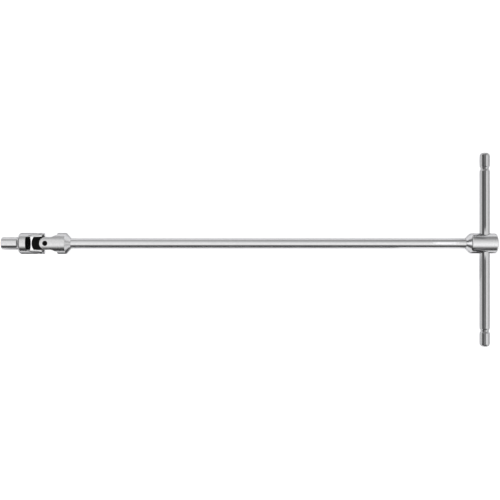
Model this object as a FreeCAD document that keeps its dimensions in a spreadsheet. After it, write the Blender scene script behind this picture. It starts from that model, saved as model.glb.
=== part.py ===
import FreeCAD, Part
import math
import os

import Sketcher
from FreeCAD import Placement, Rotation, Vector

# A long T-handle tap wrench that lies along X.
# The square drive socket opens towards -X and its mouth's centre is the origin.
# Behind it come a double-pinned universal joint, a long round shaft and a round
# head, through which a sliding tommy bar passes along Y. +Z is up.

TURN = 360
HALF_TURN = 180
QUARTER_TURN = 90
PIN_ALONG_Z = Rotation()
PIN_ALONG_Y = Rotation(Vector(1, 0, 0), QUARTER_TURN)

# Driving dimensions in millimetres. Each one becomes a named cell.
DIMENSIONS = {
    # drive nose, with the square socket broached into a drilled hole
    "nose_diameter": 12.3,
    "nose_length": 17.7,
    "nose_edge": 0.5,
    "neck_fillet": 2.3,
    "square_flats": 6.3,
    "square_depth": 12.0,
    "drill_diameter": 6.2,
    "drill_depth": 14.0,
    "mouth_diameter": 8.4,
    # both yokes of the universal joint
    "yoke_diameter": 21.0,
    "ear_radius": 6.2,
    "ear_chamfer": 0.7,
    "slot_width": 13.0,
    "slot_depth": 10.9,
    "scallop_start": 3.6,
    "scallop_radius": 8.0,
    "drive_yoke_back": 18.8,
    "drive_yoke_corner": 2.0,
    "shaft_yoke_back": 18.9,
    "shaft_yoke_cone": 5.0,
    # joint pins and the block that both of them cross
    "pin_diameter": 5.0,
    "pin_length": 19.8,
    "pin_chamfer": 0.4,
    "pin_spacing": 8.6,
    "pin_clearance": 0.05,
    "block_flats": 12.8,
    "block_radius": 11.2,
    # shaft, with a spigot in the yoke and a blind spring hole in the head end
    "shaft_diameter": 10.0,
    "shaft_showing": 394.0,
    "spigot_diameter": 7.0,
    "spigot_length": 9.0,
    "shaft_in_head": 10.4,
    # round head that the bar passes through
    "head_diameter": 20.0,
    "head_length": 30.9,
    "head_cone_length": 5.0,
    "head_cone_drop": 4.7,
    "head_front_rounding": 2.5,
    "head_back_rounding": 1.5,
    "bar_to_head_front": 19.4,
    "bore_chamfer": 0.4,
    # sliding tommy bar
    "bar_diameter": 10.0,
    "bar_length": 193.8,
    "bar_clearance": 0.08,
    "bar_end_rounding": 3.5,
    "bar_slid_by": 6.3,
    "groove_from_end": 15.9,
    "groove_width": 4.4,
    "groove_depth": 1.0,
    "groove_edge": 0.6,
    # spring and ball that stop the bar at its grooves
    "ball_diameter": 4.0,
    "ball_gap": 0.05,
    "spring_hole_diameter": 4.2,
    "spring_hole_depth": 6.0,
    "spring_diameter": 3.6,
    "spring_wire": 0.5,
    "spring_turns": 6.0,
}

# Distances that follow from the driving dimensions.
DERIVED = {
    "nose_radius": "=nose_diameter / 2",
    "yoke_radius": "=yoke_diameter / 2",
    "slot_half": "=slot_width / 2",
    "cut_reach": "=yoke_diameter",
    "shaft_radius": "=shaft_diameter / 2",
    "spigot_radius": "=spigot_diameter / 2",
    "spring_hole_radius": "=spring_hole_diameter / 2",
    "head_radius": "=head_diameter / 2",
    "head_cone_slant": "=sqrt(head_cone_length ^ 2 + head_cone_drop ^ 2)",
    "head_rounding_reach":
        "=head_front_rounding * (head_cone_slant - head_cone_length) / head_cone_drop",
    "bar_radius": "=bar_diameter / 2",
    "bar_half": "=bar_length / 2",
    "groove_at": "=bar_half - groove_from_end",
    "groove_radius": "=(groove_width ^ 2 / 4 + groove_depth ^ 2) / (2 * groove_depth)",
    "scallop_drop": "=yoke_radius - ear_radius",
    "scallop_run": "=sqrt(2 * scallop_radius * scallop_drop - scallop_drop ^ 2)",
    "drive_pin_x": "=nose_length + drive_yoke_back",
    "shaft_pin_x": "=drive_pin_x + pin_spacing",
    "block_x": "=drive_pin_x + pin_spacing / 2",
    "shaft_x": "=shaft_pin_x + shaft_yoke_back + shaft_yoke_cone",
    "head_x": "=shaft_x + shaft_showing",
    "bar_x": "=head_x + bar_to_head_front",
    "ball_x": "=bar_x - bar_radius - ball_diameter / 2 - ball_gap",
    "spring_hole_floor": "=shaft_showing + shaft_in_head - spring_hole_depth",
    "spring_back_x": "=shaft_x + spring_hole_floor",
    "coil_radius": "=(spring_diameter - spring_wire) / 2",
    "ball_to_coil": "=ball_gap + sqrt((ball_diameter + spring_wire) ^ 2 / 4 - coil_radius ^ 2)",
    "spring_x": "=spring_back_x + spring_wire / 2",
    "spring_length": "=ball_x - ball_to_coil - spring_x",
}

doc = FreeCAD.newDocument("TapWrench")
sheet = doc.addObject("Spreadsheet::Sheet", "Size")


def fill_sheet():
    """Write one row for each dimension: its name, then its value under that alias."""
    rows = {name: str(value) for name, value in DIMENSIONS.items()}
    rows.update(DERIVED)
    for row, (name, content) in enumerate(rows.items(), start=1):
        sheet.set(f"A{row}", name)
        sheet.set(f"B{row}", content)
        sheet.setAlias(f"B{row}", name)
    doc.recompute()


def size(expression):
    """Value of an expression made of cells, in millimetres."""
    result = sheet.evalExpression(expression)
    return float(getattr(result, "Value", result))


def new_body(label):
    body = doc.addObject("PartDesign::Body", label)
    body.Label = label
    return body


def new_sketch(body, name, role, offset=None):
    """Sketch on one of the body's origin planes, moved along the plane's normal."""
    sketch = body.newObject("Sketcher::SketchObject", f"{body.Label}_{name}")
    plane = next(item for item in body.Origin.OriginFeatures if item.Role == role)
    sketch.AttachmentSupport = [(plane, "")]
    sketch.MapMode = "FlatFace"
    if offset:
        sketch.setExpression("AttachmentOffset.Base.z", offset)
    return sketch


def pin_point(sketch, geometry, end, x, y):
    """Tie a point of the sketch to the cells that give its coordinates."""
    for kind, axis, text in (("DistanceX", -2, x), ("DistanceY", -1, y)):
        if text == "0":
            sketch.addConstraint(Sketcher.Constraint("PointOnObject", geometry, end, axis))
            continue
        index = sketch.addConstraint(
            Sketcher.Constraint(kind, -1, 1, geometry, end, size(text)))
        sketch.setExpression(f"Constraints[{index}]", text)


def arc_between(start, end, radius):
    """Arc from start to end; it bends left for a positive radius, right for a negative."""
    chord = end - start
    normal = Vector(-chord.y, chord.x, 0).normalize()
    sagitta = abs(radius) - math.sqrt(radius ** 2 - (chord.Length / 2) ** 2)
    side = -1 if radius > 0 else 1
    middle = (start + end) / 2 + normal * sagitta * side
    return Part.Arc(start, middle, end)


def draw_outline(sketch, corners):
    """Draw a closed outline through corners (x, y) or (x, y, bend).

    x and y are expressions. bend is (side, radius) and turns the stretch that
    starts at the corner into an arc that bends left (1) or right (-1).
    """
    points = [Vector(size(corner[0]), size(corner[1]), 0) for corner in corners]
    count = len(corners)
    ends = []
    for index, corner in enumerate(corners):
        start = points[index]
        end = points[(index + 1) % count]
        if len(corner) == 2:
            number = sketch.addGeometry(Part.LineSegment(start, end), False)
            ends.append((number, 1, 2))
            continue
        side, radius = corner[2]
        number = sketch.addGeometry(arc_between(start, end, side * size(radius)), False)
        swapped = side < 0
        ends.append((number, 2, 1) if swapped else (number, 1, 2))
        bound = sketch.addConstraint(Sketcher.Constraint("Radius", number, size(radius)))
        sketch.setExpression(f"Constraints[{bound}]", radius)
    for index, corner in enumerate(corners):
        number, first, _ = ends[index]
        before, _, last = ends[index - 1]
        sketch.addConstraint(Sketcher.Constraint("Coincident", before, last, number, first))
        pin_point(sketch, number, first, corner[0], corner[1])


def draw_circle(sketch, x, y, radius):
    number = sketch.addGeometry(
        Part.Circle(Vector(size(x), size(y), 0), Vector(0, 0, 1), size(radius)), False)
    pin_point(sketch, number, 3, x, y)
    bound = sketch.addConstraint(Sketcher.Constraint("Radius", number, size(radius)))
    sketch.setExpression(f"Constraints[{bound}]", radius)


def revolve(body, sketch, name="revolution"):
    """Turn a profile about the sketch's horizontal axis."""
    feature = body.newObject("PartDesign::Revolution", f"{body.Label}_{name}")
    feature.Profile = sketch
    feature.ReferenceAxis = (sketch, ["H_Axis"])
    feature.Angle = TURN
    doc.recompute()
    return feature


def cut_through(body, sketch, name):
    """Cut a sketch right through the body, both ways from its plane."""
    before = body.Shape.Volume
    feature = body.newObject("PartDesign::Pocket", f"{body.Label}_{name}")
    feature.Profile = sketch
    feature.Type = "ThroughAll"
    feature.SideType = "Symmetric"
    doc.recompute()
    require_less(body, before, name)
    return feature


def require_less(body, before, name):
    if not body.Shape.Volume < before:
        raise RuntimeError(f"{body.Label}: {name} removed nothing")


def edges_where(feature, test):
    """Names of the feature's edges that pass a test."""
    edges = feature.Shape.Edges
    names = [f"Edge{index}" for index, edge in enumerate(edges, start=1) if test(edge)]
    if not names:
        raise RuntimeError(f"{feature.Label}: no edge passes the test")
    return names


def chamfer(body, feature, test, length, name):
    result = body.newObject("PartDesign::Chamfer", f"{body.Label}_{name}")
    result.Base = (feature, edges_where(feature, test))
    result.setExpression("Size", length)
    doc.recompute()
    return result


def make_yoke(label, tail):
    """Forked end of the joint, turned to a tail's outline and then milled.

    Its own origin is the middle of its pin hole, which runs along Z. The two
    ears reach to -X and the solid back, with the tail, to +X.
    """
    body = new_body(label)
    blank = new_sketch(body, "outline", "XY_Plane")
    ear_tip = "-Size.ear_radius"
    draw_outline(blank, [(ear_tip, "0"), (ear_tip, "Size.yoke_radius")] + tail)
    revolve(body, blank)

    slot = new_sketch(body, "slot", "XZ_Plane")
    draw_outline(slot, [
        ("-Size.cut_reach", "-Size.slot_half"),
        ("Size.slot_depth", "-Size.slot_half"),
        ("Size.slot_depth", "Size.slot_half"),
        ("-Size.cut_reach", "Size.slot_half"),
    ])
    cut_through(body, slot, "slot_cut")

    flanks = new_sketch(body, "flanks", "XY_Plane")
    scallop_end = "Size.scallop_start + Size.scallop_run"
    draw_outline(flanks, [
        ("0", "Size.ear_radius", (1, "Size.ear_radius")),
        ("-Size.ear_radius", "0", (1, "Size.ear_radius")),
        ("0", "-Size.ear_radius"),
        ("Size.scallop_start", "-Size.ear_radius", (-1, "Size.scallop_radius")),
        (scallop_end, "-Size.yoke_radius"),
        (scallop_end, "-Size.cut_reach"),
        ("-Size.cut_reach", "-Size.cut_reach"),
        ("-Size.cut_reach", "Size.cut_reach"),
        (scallop_end, "Size.cut_reach"),
        (scallop_end, "Size.yoke_radius", (-1, "Size.scallop_radius")),
        ("Size.scallop_start", "Size.ear_radius"),
    ])
    milled = cut_through(body, flanks, "flank_cut")

    chamfer(body, milled, is_ear_end_edge, "Size.ear_chamfer", "ear_edges")
    pin_hole = new_sketch(body, "pin_hole", "XY_Plane")
    draw_circle(pin_hole, "0", "0", "Size.pin_diameter / 2")
    cut_through(body, pin_hole, "pin_hole_cut")
    return body


def is_ear_end_edge(edge):
    """True for the outer edge of each ear's round end."""
    box = edge.BoundBox
    round_end = edge.CenterOfMass.x < 0 and box.YLength > size("Size.ear_radius")
    one_ear = box.ZMin * box.ZMax > 0
    outermost = max(abs(box.ZMin), abs(box.ZMax))
    return round_end and one_ear and outermost > size("(Size.slot_half + Size.yoke_radius) / 2")


def make_shaft_yoke():
    """Yoke on the shaft: a cone runs down to the shaft, whose spigot fills its bore."""
    cone_start = "Size.shaft_yoke_back"
    cone_end = "Size.shaft_yoke_back + Size.shaft_yoke_cone"
    bore_floor = "Size.shaft_yoke_back + Size.shaft_yoke_cone - Size.spigot_length"
    body = make_yoke("shaft_yoke", [
        (cone_start, "Size.yoke_radius"),
        (cone_end, "Size.shaft_radius"),
        (cone_end, "Size.spigot_radius"),
        (bore_floor, "Size.spigot_radius"),
        (bore_floor, "0"),
    ])
    body.setExpression("Placement.Base.x", "Size.shaft_pin_x")
    return body


def make_drive_yoke():
    """Yoke that ends in the drive nose, with the square socket in its mouth."""
    mouth = "Size.drive_yoke_back + Size.nose_length"
    back = "Size.drive_yoke_back"
    neck = "Size.nose_radius + Size.neck_fillet"
    body = make_yoke("drive_yoke", [
        (f"{back} - Size.drive_yoke_corner", "Size.yoke_radius", (-1, "Size.drive_yoke_corner")),
        (back, "Size.yoke_radius - Size.drive_yoke_corner"),
        (back, neck, (1, "Size.neck_fillet")),
        (f"{back} + Size.neck_fillet", "Size.nose_radius"),
        (f"{mouth} - Size.nose_edge", "Size.nose_radius"),
        (mouth, "Size.nose_radius - Size.nose_edge"),
        (mouth, "0"),
    ])

    drill = new_sketch(body, "drill", "YZ_Plane", mouth)
    draw_circle(drill, "0", "0", "Size.drill_diameter / 2")
    doc.recompute()
    before = body.Shape.Volume
    hole = body.newObject("PartDesign::Hole", "drive_yoke_drilled_hole")
    hole.Profile = drill
    hole.DepthType = "Dimension"
    hole.DrillPoint = "Angled"
    hole.HoleCutType = "Countersink"
    hole.HoleCutCountersinkAngle = QUARTER_TURN
    hole.setExpression("Diameter", "Size.drill_diameter")
    hole.setExpression("Depth", "Size.drill_depth")
    hole.setExpression("HoleCutDiameter", "Size.mouth_diameter")
    doc.recompute()
    require_less(body, before, "drilled hole")

    square = new_sketch(body, "square", "YZ_Plane", mouth)
    half = "Size.square_flats / 2"
    draw_outline(square, [
        (f"-{half}", f"-{half}"), (half, f"-{half}"), (half, half), (f"-{half}", half)])
    before = body.Shape.Volume
    socket = body.newObject("PartDesign::Pocket", "drive_yoke_square_cut")
    socket.Profile = square
    socket.setExpression("Length", "Size.square_depth")
    doc.recompute()
    require_less(body, before, "square socket")

    nose_forward = Rotation(Vector(0, 0, 1), HALF_TURN)
    body.Placement = Placement(Vector(), PIN_ALONG_Y * nose_forward)
    body.setExpression("Placement.Base.x", "Size.drive_pin_x")
    return body


def make_pin(label, x, rotation):
    """Joint pin with chamfered ends, centred on its own origin."""
    body = new_body(label)
    section = new_sketch(body, "section", "XY_Plane")
    draw_circle(section, "0", "0", "Size.pin_diameter / 2")
    pad = body.newObject("PartDesign::Pad", f"{label}_pad")
    pad.Profile = section
    pad.SideType = "Symmetric"
    pad.setExpression("Length", "Size.pin_length")
    doc.recompute()
    chamfer(body, pad, is_circle, "Size.pin_chamfer", "end_chamfers")
    body.Placement = Placement(Vector(), rotation)
    body.setExpression("Placement.Base.x", x)
    return body


def is_circle(edge):
    return edge.Curve.TypeId == "Part::GeomCircle"


def make_round_cutter(name, rotation, base):
    """Cylinder that clears a pin; base holds the expression for each coordinate of its start."""
    cutter = doc.addObject("Part::Cylinder", name)
    cutter.setExpression("Radius", "Size.pin_diameter / 2 + Size.pin_clearance")
    cutter.setExpression("Height", "2 * Size.block_radius")
    cutter.Placement = Placement(Vector(), rotation)
    for axis, expression in base.items():
        cutter.setExpression(f"Placement.Base.{axis}", expression)
    return cutter


def make_centre_block():
    """Ball with four flats and two pin holes that cross without meeting."""
    ball = doc.addObject("Part::Sphere", "block_ball")
    ball.setExpression("Radius", "Size.block_radius")
    bar = doc.addObject("Part::Box", "block_square_bar")
    bar.setExpression("Length", "2 * Size.block_radius")
    bar.setExpression("Placement.Base.x", "-Size.block_radius")
    for side, axis in (("Width", "y"), ("Height", "z")):
        bar.setExpression(side, "Size.block_flats")
        bar.setExpression(f"Placement.Base.{axis}", "-Size.block_flats / 2")
    blank = doc.addObject("Part::Common", "block_blank")
    blank.Base = ball
    blank.Tool = bar
    first = doc.addObject("Part::Cut", "block_with_drive_hole")
    first.Base = blank
    first.Tool = make_round_cutter(
        "block_drive_hole", PIN_ALONG_Y, {"x": "-Size.pin_spacing / 2", "y": "Size.block_radius"})
    block = doc.addObject("Part::Cut", "centre_block")
    block.Base = first
    block.Tool = make_round_cutter(
        "block_shaft_hole", PIN_ALONG_Z, {"x": "Size.pin_spacing / 2", "z": "-Size.block_radius"})
    block.setExpression("Placement.Base.x", "Size.block_x")
    return block


def make_shaft():
    """Round shaft: spigot at the yoke end, spring hole at the head end."""
    body = new_body("shaft")
    profile = new_sketch(body, "outline", "XY_Plane")
    end = "Size.shaft_showing + Size.shaft_in_head"
    draw_outline(profile, [
        ("-Size.spigot_length", "0"),
        ("-Size.spigot_length", "Size.spigot_radius"),
        ("0", "Size.spigot_radius"),
        ("0", "Size.shaft_radius"),
        (end, "Size.shaft_radius"),
        (end, "Size.spring_hole_radius"),
        ("Size.spring_hole_floor", "Size.spring_hole_radius"),
        ("Size.spring_hole_floor", "0"),
    ])
    revolve(body, profile)
    body.setExpression("Placement.Base.x", "Size.shaft_x")
    return body


def make_head():
    """Round head: a cone and the shaft's socket in front, the bar's bore across it."""
    body = new_body("t_head")
    profile = new_sketch(body, "outline", "XY_Plane")
    along_cone = "(1 - Size.head_rounding_reach / Size.head_cone_slant)"
    shoulder = "Size.head_length - Size.head_back_rounding"
    draw_outline(profile, [
        ("0", "Size.shaft_radius"),
        ("0", "Size.head_radius - Size.head_cone_drop"),
        (f"Size.head_cone_length * {along_cone}",
         f"Size.head_radius - Size.head_cone_drop + Size.head_cone_drop * {along_cone}",
         (-1, "Size.head_front_rounding")),
        ("Size.head_cone_length + Size.head_rounding_reach", "Size.head_radius"),
        (shoulder, "Size.head_radius", (-1, "Size.head_back_rounding")),
        ("Size.head_length", "Size.head_radius - Size.head_back_rounding"),
        ("Size.head_length", "0"),
        ("Size.bar_to_head_front", "0"),
        ("Size.bar_to_head_front", "Size.spring_hole_radius"),
        ("Size.shaft_in_head", "Size.spring_hole_radius"),
        ("Size.shaft_in_head", "Size.shaft_radius"),
    ])
    revolve(body, profile)
    bore = new_sketch(body, "bore", "XZ_Plane")
    draw_circle(bore, "Size.bar_to_head_front", "0", "Size.bar_radius + Size.bar_clearance")
    bored = cut_through(body, bore, "bore_cut")
    chamfer(body, bored, is_bore_rim, "Size.bore_chamfer", "bore_rims")
    body.setExpression("Placement.Base.x", "Size.head_x")
    return body


def is_bore_rim(edge):
    """True for the two saddle-shaped rims where the bore leaves the head."""
    wide = edge.BoundBox.XLength > size("Size.bar_diameter")
    curved = edge.BoundBox.YLength > size("Size.bore_chamfer")
    return wide and curved


def make_tommy_bar():
    """Round bar with domed ends and a stop groove near each end."""
    body = new_body("tommy_bar")
    profile = new_sketch(body, "outline", "XY_Plane")
    shoulder = "Size.bar_half - Size.bar_end_rounding"
    face = "Size.bar_radius - Size.bar_end_rounding"
    rounding = (-1, "Size.bar_end_rounding")
    draw_outline(profile, [
        ("-Size.bar_half", "0"),
        ("-Size.bar_half", face, rounding),
        (f"-({shoulder})", "Size.bar_radius"),
        (shoulder, "Size.bar_radius", rounding),
        ("Size.bar_half", face),
        ("Size.bar_half", "0"),
    ])
    revolve(body, profile)

    section = new_sketch(body, "groove", "XY_Plane")
    near = "Size.groove_at - Size.groove_width / 2"
    far = "Size.groove_at + Size.groove_width / 2"
    above = "Size.bar_radius + Size.groove_depth"
    draw_outline(section, [
        (near, "Size.bar_radius", (1, "Size.groove_radius")),
        (far, "Size.bar_radius"),
        (far, above),
        (near, above),
    ])
    before = body.Shape.Volume
    groove = body.newObject("PartDesign::Groove", "tommy_bar_groove_cut")
    groove.Profile = section
    groove.ReferenceAxis = (section, ["H_Axis"])
    groove.Angle = TURN
    doc.recompute()
    require_less(body, before, "groove")

    middle = next(item for item in body.Origin.OriginFeatures if item.Role == "YZ_Plane")
    mirrored = body.newObject("PartDesign::Mirrored", "tommy_bar_both_grooves")
    mirrored.Originals = [groove]
    mirrored.MirrorPlane = (middle, [""])
    body.Tip = mirrored
    doc.recompute()
    softened = body.newObject("PartDesign::Fillet", "tommy_bar_groove_edges")
    softened.Base = (mirrored, edges_where(mirrored, is_groove_edge))
    softened.setExpression("Radius", "Size.groove_edge")
    doc.recompute()

    body.Placement = Placement(Vector(), Rotation(Vector(0, 0, 1), QUARTER_TURN))
    body.setExpression("Placement.Base.x", "Size.bar_x")
    body.setExpression("Placement.Base.y", "-Size.bar_slid_by")
    return body


def is_groove_edge(edge):
    """True for the four circles where the grooves meet the bar's surface."""
    if not is_circle(edge):
        return False
    from_groove = abs(abs(edge.CenterOfMass.x) - size("Size.groove_at"))
    return from_groove < size("Size.groove_width")


def make_detent_ball():
    ball = doc.addObject("Part::Sphere", "detent_ball")
    ball.setExpression("Radius", "Size.ball_diameter / 2")
    ball.setExpression("Placement.Base.x", "Size.ball_x")
    return ball


def make_detent_spring():
    """Coil spring that stands on the spring hole's floor and reaches to the ball."""
    body = new_body("detent_spring")
    wire = new_sketch(body, "wire", "XY_Plane")
    draw_circle(wire, "0", "Size.coil_radius", "Size.spring_wire / 2")
    doc.recompute()
    coil = body.newObject("PartDesign::AdditiveHelix", "detent_spring_coil")
    coil.Profile = wire
    coil.ReferenceAxis = (wire, ["H_Axis"])
    coil.Mode = "height-turns-angle"
    coil.setExpression("Height", "Size.spring_length")
    coil.setExpression("Turns", "Size.spring_turns")
    doc.recompute()
    body.setExpression("Placement.Base.x", "Size.spring_x")
    return body


def check_document(parts):
    """Stop if any object failed, or if a sub-part isn't one valid solid."""
    for item in doc.Objects:
        if {"Invalid", "Error"} & set(item.State):
            raise RuntimeError(f"{item.Label} is {item.State}")
    for item in parts:
        shape = item.Shape
        if shape.isNull() or not shape.isValid() or len(shape.Solids) != 1:
            raise RuntimeError(f"{item.Label} isn't one valid solid")
        print(f"{item.Label}: {shape.Volume:.1f} mm3, x {shape.BoundBox.XMin:.2f} to "
              f"{shape.BoundBox.XMax:.2f}")


fill_sheet()
sub_parts = [
    make_drive_yoke(),
    make_pin("drive_side_pin", "Size.drive_pin_x", PIN_ALONG_Y),
    make_centre_block(),
    make_pin("shaft_side_pin", "Size.shaft_pin_x", PIN_ALONG_Z),
    make_shaft_yoke(),
    make_shaft(),
    make_head(),
    make_tommy_bar(),
    make_detent_ball(),
    make_detent_spring(),
]
doc.recompute()
check_document(sub_parts)

os.makedirs("parts", exist_ok=True)
for sub_part in sub_parts:
    sub_part.Shape.exportStep(f"parts/{sub_part.Label}.step")
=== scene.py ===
import math

import bpy
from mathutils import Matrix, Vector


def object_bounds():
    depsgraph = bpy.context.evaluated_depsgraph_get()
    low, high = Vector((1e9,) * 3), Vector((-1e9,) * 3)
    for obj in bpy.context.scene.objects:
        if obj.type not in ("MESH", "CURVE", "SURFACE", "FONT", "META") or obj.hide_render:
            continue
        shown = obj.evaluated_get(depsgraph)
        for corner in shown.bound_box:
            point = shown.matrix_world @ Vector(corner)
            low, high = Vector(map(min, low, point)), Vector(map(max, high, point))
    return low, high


# A chrome T-handle tap wrench, seen from straight above over a white table.
# Lengths are in metres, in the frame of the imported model: the shaft lies along X,
# the tommy bar along Y, and +Z is up.

MM = 0.001
BAR_X = 482.4 * MM
NOSE_END = 17.7 * MM
HEAD_START = 463.0 * MM

# The yokes' slots: the axis across each one, its floor's place and the way it opens.
SLOT_HALF = 6.5 * MM
FORKS = {
    "drive_yoke": ("Y", 25.6 * MM, 1.0),
    "shaft_yoke": ("Z", 56.0 * MM, -1.0),
}

# Room under the tool for the drive end, which swings down at its joint's limit.
ROOM_TO_SWING = 30 * MM

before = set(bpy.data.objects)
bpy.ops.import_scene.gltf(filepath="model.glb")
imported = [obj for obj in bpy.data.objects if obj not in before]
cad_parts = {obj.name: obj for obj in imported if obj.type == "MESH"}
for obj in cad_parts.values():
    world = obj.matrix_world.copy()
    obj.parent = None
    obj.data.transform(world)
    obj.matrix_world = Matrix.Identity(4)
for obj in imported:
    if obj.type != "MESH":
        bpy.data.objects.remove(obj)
cad_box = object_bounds()
low, high = cad_box
centre = (low + high) / 2
underside = low.z


# ---------------------------------------------------------------- node graphs

class Graph:
    """A node tree with short calls that add nodes and join their sockets."""

    def __init__(self, tree):
        self.tree = tree
        tree.nodes.clear()

    def add(self, kind, settings=None, **inputs):
        """New node; inputs are values, or sockets of other nodes, by socket name."""
        node = self.tree.nodes.new(kind)
        for name, value in (settings or {}).items():
            setattr(node, name, value)
        for name, value in inputs.items():
            self.feed(node.inputs[name.replace("_", " ")], value)
        return node

    def feed(self, socket, value):
        if isinstance(value, bpy.types.NodeSocket):
            self.tree.links.new(value, socket)
        else:
            socket.default_value = value

    def coordinates(self, stretch=(1, 1, 1)):
        """The point on the object in metres, scaled along each axis."""
        place = self.add("ShaderNodeTexCoord").outputs["Object"]
        return self.add("ShaderNodeMapping", Vector=place, Scale=stretch).outputs["Vector"]

    def separate(self, vector):
        """The outputs X, Y and Z of a vector."""
        return self.add("ShaderNodeSeparateXYZ", Vector=vector).outputs

    def noise(self, vector, scale, detail=2.0, roughness=0.5):
        node = self.add("ShaderNodeTexNoise", Vector=vector, Scale=scale, Detail=detail,
                        Roughness=roughness)
        return node.outputs["Fac"]

    def remap(self, value, source, target=(0.0, 1.0)):
        """Carry a value from one range to another, held inside the target range."""
        node = self.add("ShaderNodeMapRange", Value=value, From_Min=source[0],
                        From_Max=source[1], To_Min=target[0], To_Max=target[1])
        return node.outputs["Result"]

    def math(self, operation, first, second=0.0):
        node = self.add("ShaderNodeMath", {"operation": operation})
        self.feed(node.inputs[0], first)
        self.feed(node.inputs[1], second)
        return node.outputs["Value"]

    def blend(self, amount, first, second):
        """Mix two colours by an amount from 0 to 1."""
        node = self.add("ShaderNodeMix", {"data_type": "RGBA"})
        self.feed(node.inputs["Factor"], amount)
        self.feed(node.inputs["A"], first)
        self.feed(node.inputs["B"], second)
        return node.outputs["Result"]

    def profile(self, value, stops):
        """Levels from 0 to 1 read off a line through (value, level) stops."""
        first, last = stops[0][0], stops[-1][0]
        ramp = self.add("ShaderNodeValToRGB", Fac=self.remap(value, (first, last)))
        elements = ramp.color_ramp.elements
        while len(elements) < len(stops):
            elements.new(0.5)
        for element, (place, level) in zip(elements, stops):
            element.position = (place - first) / (last - first)
            element.color = (level, level, level, 1.0)
        return ramp.outputs["Color"]


def grey(level):
    """Grey with a trace of blue."""
    return (level, level, level * 1.01, 1.0)


def new_material(name):
    material = bpy.data.materials.new(name)
    material.use_nodes = True
    return material, Graph(material.node_tree)


def finish_surface(graph, **inputs):
    """Make a Principled shader with these inputs the material's surface."""
    shader = graph.add("ShaderNodeBsdfPrincipled", **inputs)
    graph.add("ShaderNodeOutputMaterial", Surface=shader.outputs["BSDF"])


# ---------------------------------------------------------------- metals

# How fine each pattern is: about this many patches to a metre.
WEAR_SCALE = 700.0
# Patches that break up the painted corner shade.
CORNER_SHADE_PATCH_SCALE = 420.0
SMEAR_SCALE = 55.0
SPECK_SCALE = 900.0
OXIDE_GRAIN_SCALE = 1600.0
OXIDE_PATCH_SCALE = 260.0

# Tool marks that run round a turned piece follow each other along its axis.
ALONG_X = (9000.0, 300.0, 300.0)
ALONG_Y = (300.0, 9000.0, 300.0)
EVEN = (1500.0, 1500.0, 1500.0)

# Painted shade: inner corners are darkened by ambient occlusion, and the yokes' slot walls are coloured
# near black.
CORNER_SHADE_REACH = 2.5 * MM
PAINTED_CORNER_SHADE = grey(0.06)
PAINTED_SLOT_SHADE = grey(0.012)
RUBBED_STEEL = grey(0.35)
NOSE_POLISH = 0.6
MASK_MARGIN = 0.02 * MM


def worn_edge(graph, radius, strength):
    """1 on the object's edges and 0 on its faces, broken up so that it looks worn."""
    round_normal = graph.add("ShaderNodeBevel", {"samples": 4}, Radius=radius).outputs["Normal"]
    face_normal = graph.add("ShaderNodeNewGeometry").outputs["Normal"]
    dot = graph.add("ShaderNodeVectorMath", {"operation": "DOT_PRODUCT"})
    graph.feed(dot.inputs[0], round_normal)
    graph.feed(dot.inputs[1], face_normal)
    turned_away = graph.remap(dot.outputs["Value"], (1.0, 0.86))
    wear = graph.noise(graph.coordinates(), WEAR_SCALE, 4.0)
    return graph.math("MULTIPLY", turned_away, graph.remap(wear, (0.35, 0.6), (0.0, strength)))


def painted_corner_shade(graph, reach):
    """Painted shade: 1 in tight inner corners, read from ambient occlusion and broken into patches,
    fading to 0 on open faces.
    """
    shelter = graph.add("ShaderNodeAmbientOcclusion", {"only_local": True, "samples": 8},
                        Distance=reach).outputs["AO"]
    shade_blotches = graph.noise(graph.coordinates(), CORNER_SHADE_PATCH_SCALE, 3.0)
    patches = graph.remap(shade_blotches, (0.3, 0.65), (0.55, 1.0))
    return graph.math("MULTIPLY", graph.remap(shelter, (0.92, 0.5)), patches)


def inside_fork(graph, yoke):
    """Where the painted slot shade goes: 1 on the walls of the yoke's slot and 0 on its outside."""
    across, floor_x, opens_to = FORKS[yoke]
    along = graph.separate(graph.coordinates())
    from_middle = graph.math("ABSOLUTE", along[across])
    between = graph.math("LESS_THAN", from_middle, SLOT_HALF + MASK_MARGIN)
    past_floor = graph.math("MULTIPLY", graph.math("SUBTRACT", along["X"], floor_x), opens_to)
    beyond = graph.math("GREATER_THAN", past_floor, -MASK_MARGIN)
    return graph.math("MULTIPLY", between, beyond)


def relief(graph, height, depth, edge):
    """Normals of a surface with softened edges and fine marks of this depth."""
    soft_edge = graph.add("ShaderNodeBevel", {"samples": 6}, Radius=edge).outputs["Normal"]
    bump = graph.add("ShaderNodeBump", Strength=1.0, Distance=depth, Height=height,
                     Normal=soft_edge)
    return bump.outputs["Normal"]


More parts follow.
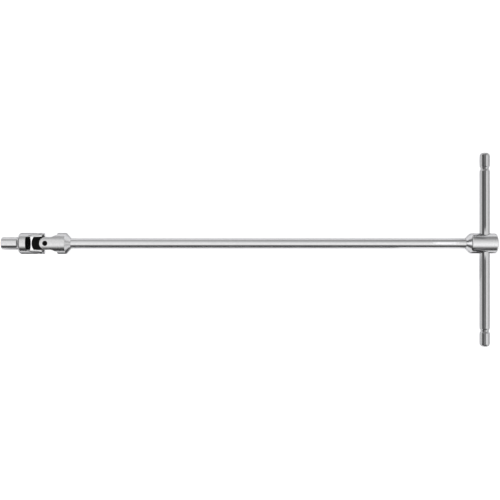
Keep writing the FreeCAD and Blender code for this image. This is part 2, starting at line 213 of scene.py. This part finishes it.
def machined_metal(name, colour, roughness, marks, mark_depth, edge=0.3 * MM, fork=None):
    """Plated steel with fine tool marks, faint smears and soft edges.

    marks stretches the noise that makes the tool marks: large along the
    direction in which they follow each other, small along their length.
    fork names the yoke that gets painted shade: darker inner corners and near-black slot walls.
    """
    material, graph = new_material(name)
    lines = graph.noise(graph.coordinates(marks), 1.0, 6.0, 0.65)
    smears = graph.noise(graph.coordinates(), SMEAR_SCALE, 3.0)
    specks = graph.noise(graph.coordinates(), SPECK_SCALE)
    edges = worn_edge(graph, edge, 0.7)

    low_rough, high_rough = roughness
    smeared = graph.remap(smears, (0.3, 0.7), (low_rough, high_rough))
    lined = graph.math("MULTIPLY", smeared, graph.remap(lines, (0.3, 0.7), (0.8, 1.25)))
    rough = graph.math("SUBTRACT", lined, graph.math("MULTIPLY", edges, 0.3 * low_rough))
    along = graph.separate(graph.coordinates())
    off_nose = graph.remap(along["X"], (NOSE_END - 1 * MM, NOSE_END), (NOSE_POLISH, 1.0))
    rough = graph.math("MULTIPLY", rough, off_nose)

    darker = [channel * 0.9 for channel in colour[:3]] + [1.0]
    brighter = [min(channel * 1.08, 1.0) for channel in colour[:3]] + [1.0]
    mottled = graph.blend(graph.remap(specks, (0.35, 0.75)), colour, darker)
    tint = graph.blend(edges, mottled, brighter)
    if fork:
        # Painted shade: darker in inner corners, found by ambient occlusion.
        tint = graph.blend(painted_corner_shade(graph, CORNER_SHADE_REACH), tint, PAINTED_CORNER_SHADE)
        # Painted shade: the slot walls are coloured near black.
        tint = graph.blend(inside_fork(graph, fork), tint, PAINTED_SLOT_SHADE)

    finish_surface(graph, Normal=relief(graph, lines, mark_depth, edge), Base_Color=tint,
                   Metallic=1.0, Roughness=rough, Specular_Tint=grey(0.3))
    return material


def black_oxide(name):
    """Blackened steel: dull, slightly mottled, rubbed through to steel on its edges."""
    material, graph = new_material(name)
    grain = graph.noise(graph.coordinates(), OXIDE_GRAIN_SCALE, 4.0, 0.6)
    patches = graph.noise(graph.coordinates(), OXIDE_PATCH_SCALE, 3.0)
    rubbed = worn_edge(graph, 0.35 * MM, 0.55)
    black = graph.blend(graph.remap(patches, (0.35, 0.7)), grey(0.003), grey(0.007))
    tint = graph.blend(rubbed, black, RUBBED_STEEL)
    rough = graph.remap(grain, (0.3, 0.7), (0.28, 0.46))
    metallic = graph.remap(rubbed, (0.0, 0.5))
    finish_surface(graph, Normal=relief(graph, grain, 0.004 * MM, 0.3 * MM), Base_Color=tint,
                   Metallic=metallic, Roughness=rough, Specular_IOR_Level=0.05)
    return material


shaft_chrome = machined_metal("shaft_chrome", grey(0.58), (0.13, 0.2), ALONG_X, 0.0015 * MM)
head_chrome = machined_metal("head_chrome", grey(0.6), (0.15, 0.22), ALONG_X, 0.002 * MM)
drive_chrome, joint_chrome = [
    machined_metal(f"{yoke}_chrome", grey(0.57), (0.16, 0.24), ALONG_X, 0.002 * MM, fork=yoke)
    for yoke in FORKS
]
bar_chrome = machined_metal("bar_chrome", grey(0.46), (0.08, 0.14), ALONG_Y, 0.0015 * MM)
spring_steel = machined_metal("spring_steel", grey(0.5), (0.2, 0.3), EVEN, 0.001 * MM, 0.05 * MM)
black_steel = black_oxide("black_steel")

FINISHES = {
    "drive_yoke": drive_chrome,
    "shaft_yoke": joint_chrome,
    "shaft": shaft_chrome,
    "t_head": head_chrome,
    "tommy_bar": bar_chrome,
    "centre_block": black_steel,
    "drive_side_pin": black_steel,
    "shaft_side_pin": black_steel,
    "detent_ball": spring_steel,
    "detent_spring": spring_steel,
}

for node_name, node_finish in FINISHES.items():
    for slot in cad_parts[node_name].material_slots:
        slot.material = node_finish


# ---------------------------------------------------------------- the studio

def add_sheet(name, corners):
    """Flat four-cornered stage piece, which isn't part of the tool."""
    mesh = bpy.data.meshes.new(name)
    mesh.from_pydata(corners, [], [(0, 1, 2, 3)])
    sheet = bpy.data.objects.new(name, mesh)
    bpy.context.scene.collection.objects.link(sheet)
    return sheet


def make_floor():
    """A wide pale light table, with the faint unevenness of matt card."""
    half = 30.0
    floor = add_sheet("floor", [(-half, -half, 0), (half, -half, 0), (half, half, 0), (-half, half, 0)])
    floor.location = (centre.x, centre.y, underside - ROOM_TO_SWING)
    material, graph = new_material("pale_card")
    fibres = graph.noise(graph.coordinates(), 30.0, 4.0)
    tint = graph.blend(fibres, grey(0.86), grey(0.9))
    bump = graph.add("ShaderNodeBump", Strength=0.05, Distance=0.05 * MM, Height=fibres)
    finish_surface(graph, Normal=bump.outputs["Normal"], Base_Color=tint, Roughness=0.9,
                   Emission_Color=tint, Emission_Strength=0.95)
    floor.data.materials.append(material)


def add_floor_light():
    """Wide sun that whitens the table and leaves no glint on the metal."""
    light = bpy.data.lights.new("floor_light", "SUN")
    light.energy = 1.2
    light.angle = math.radians(60)
    lamp = bpy.data.objects.new("floor_light", light)
    lamp.visible_glossy = False
    bpy.context.scene.collection.objects.link(lamp)


# How bright the room is, as a share of its brightest point: by how many degrees
# a direction leans to the back (less than 0 is to the front, -Y), and by how far
# it leans to the right (1 is level with the table, 0 is overhead).
FRONT_TO_BACK = [(-90, 0.1), (-76, 0.03), (-58, 0.03), (-50, 0.14), (-42, 0.4), (-34, 0.72),
                 (-24, 1.0), (-12, 1.0), (0, 0.92), (12, 0.84), (32, 0.8), (44, 0.6),
                 (56, 0.42), (70, 0.4), (82, 0.55), (90, 0.6)]
LEFT_TO_RIGHT = [(-1.0, 0.6), (-0.96, 0.5), (-0.94, 0.12), (-0.6, 0.1), (-0.5, 0.3),
                 (-0.34, 0.97), (-0.2, 1.0), (0.8, 1.0), (0.9, 0.75), (0.96, 0.42),
                 (0.975, 0.45), (0.99, 0.95), (1.0, 0.95)]

# The front is dark only ahead of the tool: it brightens over this lean to either side.
DARK_FRONT_ENDS = (0.33, 0.42)
FRONT_SIDES = 0.6

# Toward the back the room is dimmer on its right than on its left.
BACK_STARTS = (5.0, 40.0)
BACK_SPAN = (-0.3, 0.3)
BACK_DIMMING = (-0.15, 0.38)

HORIZON = (0.02, 0.1)
HORIZON_LEVEL = 0.6
ROOM_STRENGTH = 1.5


def make_world():
    """Bright and dark bands that the metal mirrors, and a plain white room for the camera."""
    world = bpy.data.worlds.new("studio")
    bpy.context.scene.world = world
    world.use_nodes = True
    world.cycles_visibility.diffuse = False
    graph = Graph(world.node_tree)
    along = graph.separate(graph.add("ShaderNodeTexCoord").outputs["Generated"])
    degrees = graph.math("DEGREES", graph.math("ARCSINE", along["Y"]))
    aside = graph.math("ABSOLUTE", along["X"])
    beside = graph.remap(aside, DARK_FRONT_ENDS, (0.0, FRONT_SIDES))
    front_to_back = graph.math("MAXIMUM", graph.profile(degrees, FRONT_TO_BACK), beside)
    bands = graph.math("MULTIPLY", front_to_back, graph.profile(along["X"], LEFT_TO_RIGHT))
    back = graph.remap(degrees, BACK_STARTS)
    dimmed = graph.math("MULTIPLY", back, graph.remap(along["X"], BACK_SPAN, BACK_DIMMING))
    room = graph.math("MULTIPLY", bands, graph.math("SUBTRACT", 1.0, dimmed))
    mirrored = graph.blend(graph.remap(along["Z"], HORIZON), grey(HORIZON_LEVEL), room)
    seen = graph.add("ShaderNodeLightPath").outputs["Is Camera Ray"]
    shown = graph.blend(seen, mirrored, grey(1 / ROOM_STRENGTH))
    backdrop = graph.add("ShaderNodeBackground", Color=shown, Strength=ROOM_STRENGTH)
    graph.add("ShaderNodeOutputWorld", Surface=backdrop.outputs["Background"])


# Boards that only the metal mirrors.
SOFT_EDGE = 6 * MM
MOST_SOFTENED = 0.25
FRONT_BOARD_Y = -300 * MM
FRONT_BOARD_HEIGHT = 170 * MM
FRONT_BOARD_PAST_NOSE = 150 * MM
FRONT_BOARD_PAST_HEAD = 100 * MM
STRIP_FAR_Y = -40 * MM
STRIP_NEAR_Y = -12 * MM
STRIP_PAST_ENDS = 6 * MM
STRIP_GAP_BEFORE_HEAD = 60 * MM
OVERHEAD_Z = 15 * MM
SHADE_LEFT = BAR_X - 8 * MM
SHADE_RIGHT = BAR_X + 3 * MM
SHADE_NEAR_Y = 11 * MM
SHADE_FAR_Y = 140 * MM
CONE_LIGHT_START = HEAD_START - 33 * MM
CONE_LIGHT_END = HEAD_START - 3 * MM
CONE_LIGHT_HALF = 9 * MM


def add_card(name, low_corner, high_corner, level, glow=0.0):
    """Flat board with soft edges; only the metal's reflections show it."""
    x0, y0, z0 = low_corner
    x1, y1, z1 = high_corner
    card = add_sheet(name, [(x0, y0, z0), (x1, y0, z0), (x1, y1, z1), (x0, y1, z1)])
    card.data.uv_layers.new(name="card")
    card.visible_camera = False
    card.visible_diffuse = False
    card.visible_shadow = False
    material, graph = new_material(name)
    weave = graph.noise(graph.coordinates(), 400.0)
    tint = graph.blend(weave, grey(0.85 * level), grey(1.15 * level))
    sides = graph.separate(graph.add("ShaderNodeUVMap").outputs["UV"])
    fades = []
    for axis, length in (("X", x1 - x0), ("Y", math.hypot(y1 - y0, z1 - z0))):
        soft = min(MOST_SOFTENED, SOFT_EDGE / length)
        from_edge = graph.math("PINGPONG", sides[axis], 0.5)
        fades.append(graph.remap(from_edge, (0.0, soft)))
    finish_surface(graph, Base_Color=tint, Roughness=0.9, Emission_Color=tint,
                   Emission_Strength=glow, Alpha=graph.math("MULTIPLY", *fades))
    card.data.materials.append(material)


def add_cards():
    """Boards that shape the metal's reflections.

    A black one stands in front of the tool, dark strips lie before the shaft
    and the head, two narrow ones hang over the halves of the bar, and a bright
    one over the end of the shaft lights the head's cone.
    """
    add_card("front_board", (low.x - FRONT_BOARD_PAST_NOSE, FRONT_BOARD_Y, underside),
             (high.x + FRONT_BOARD_PAST_HEAD, FRONT_BOARD_Y, underside + FRONT_BOARD_HEIGHT), 0.02)
    strips = {
        "shaft_strip": (low.x - STRIP_PAST_ENDS, HEAD_START - STRIP_GAP_BEFORE_HEAD),
        "head_strip": (HEAD_START, high.x + STRIP_PAST_ENDS),
    }
    for name, (start, end) in strips.items():
        add_card(name, (start, STRIP_FAR_Y, underside), (end, STRIP_NEAR_Y, underside), 0.15)
    shades = {
        "bar_shade_front": (-SHADE_FAR_Y, -SHADE_NEAR_Y, 0.28),
        "bar_shade_back": (SHADE_NEAR_Y, SHADE_FAR_Y, 0.2),
    }
    for name, (start, end, level) in shades.items():
        add_card(name, (SHADE_LEFT, start, OVERHEAD_Z), (SHADE_RIGHT, end, OVERHEAD_Z), level)
    add_card("cone_light", (CONE_LIGHT_START, -CONE_LIGHT_HALF, OVERHEAD_Z),
             (CONE_LIGHT_END, CONE_LIGHT_HALF, OVERHEAD_Z), 0.8, glow=1.2)


# The camera stands straight above, and its view is just wider than the tool is long.
CAMERA_HEIGHT = 790 * MM
HALF_VIEW = 250 * MM
AIM_RIGHT = 0.75 * MM
AIM_FRONT = 0.3 * MM


def make_camera():
    camera_data = bpy.data.cameras.new("camera")
    camera_data.sensor_width = 36.0
    camera_data.lens = camera_data.sensor_width / 2 * CAMERA_HEIGHT / HALF_VIEW
    camera = bpy.data.objects.new("camera", camera_data)
    camera.location = (centre.x + AIM_RIGHT, centre.y - AIM_FRONT, CAMERA_HEIGHT)
    bpy.context.scene.collection.objects.link(camera)
    bpy.context.scene.camera = camera


make_floor()
make_world()
add_cards()
add_floor_light()
make_camera()
bpy.context.scene.view_settings.view_transform = "Standard"
